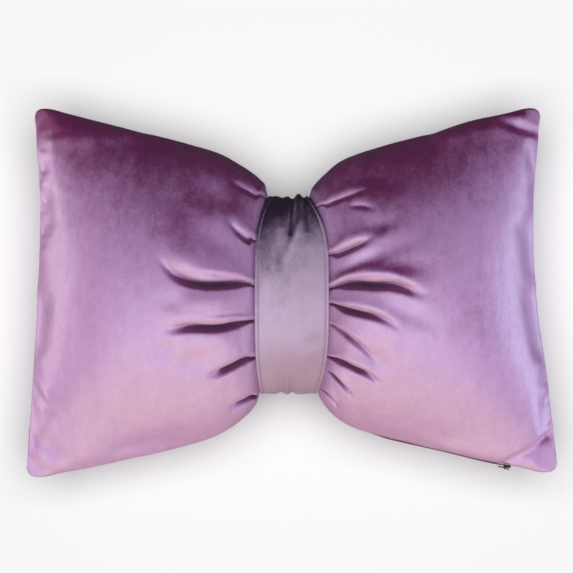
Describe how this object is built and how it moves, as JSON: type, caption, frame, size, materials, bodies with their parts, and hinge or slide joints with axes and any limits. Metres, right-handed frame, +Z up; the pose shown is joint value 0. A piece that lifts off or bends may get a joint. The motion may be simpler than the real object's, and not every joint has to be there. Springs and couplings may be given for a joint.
{
  "type": "bow cushion",
  "caption": "Stuffed velvet cushion with a knife-edge seam, drawn in at the waist by a stitched band into a bow, with a closed zip in its lower seam.",
  "frame": {"origin": "on the surface that the cushion lies on, under the middle of its outline", "axes": "+Z up off the surface, out of the bow's face; +X across the bow; +Y up its face, away from the zip's seam"},
  "size_m": [0.5, 0.3466, 0.1276],
  "materials": {
    "velvet_mauve": "short-pile mauve velvet",
    "velvet_band": "greyer mauve velvet",
    "zip_tape": "woven tape",
    "zip_metal": "dark bronze"
  },
  "bodies": {
    "root": {"cushion": "velvet_mauve", "band": "velvet_band", "zip_chain": "zip_tape", "zip_slider": "zip_metal", "zip_pull": "zip_metal"}
  },
  "joints": []
}
